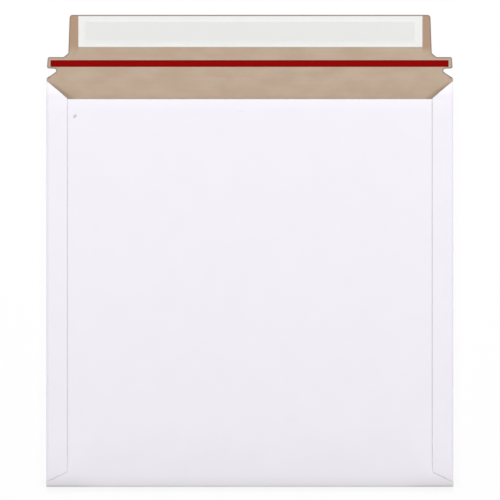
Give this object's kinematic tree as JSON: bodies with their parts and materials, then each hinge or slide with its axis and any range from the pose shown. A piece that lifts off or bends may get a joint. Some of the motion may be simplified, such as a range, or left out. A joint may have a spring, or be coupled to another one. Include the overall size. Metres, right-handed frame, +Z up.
{
  "type": "record mailer",
  "caption": "Flat card mailer for a record: a folded pocket with glued side flaps and an open closing flap with peel-off adhesive strip and red tear tape.",
  "frame": {"origin": "centre of the mailer in plan with its flap open, on the face it lies on", "axes": "+X across the pocket to the right, +Y from the bottom crease to the closing flap, +Z up through the back panel"},
  "size_m": [0.324, 0.3762, 0.0068],
  "materials": {
    "white_board": "matte",
    "kraft_board": "matte",
    "red_film": "gloss",
    "liner_paper": "satin",
    "adhesive": "gloss",
    "seam_glue": "matte"
  },
  "bodies": {
    "pocket": {"mailer_pocket": "white_board", "left_seam_glue": "seam_glue", "right_seam_glue": "seam_glue"},
    "flap": {"closing_flap": "kraft_board", "tear_tape": "red_film", "adhesive_strip": "adhesive", "release_liner": "liner_paper"}
  },
  "joints": [
    {"name": "flap_fold", "type": "hinge", "parent": "pocket", "child": "flap", "pos_m": [0, 0.1369, 0.00395], "axis": [1, 0, 0], "range_deg": [0, 179]}
  ]
}
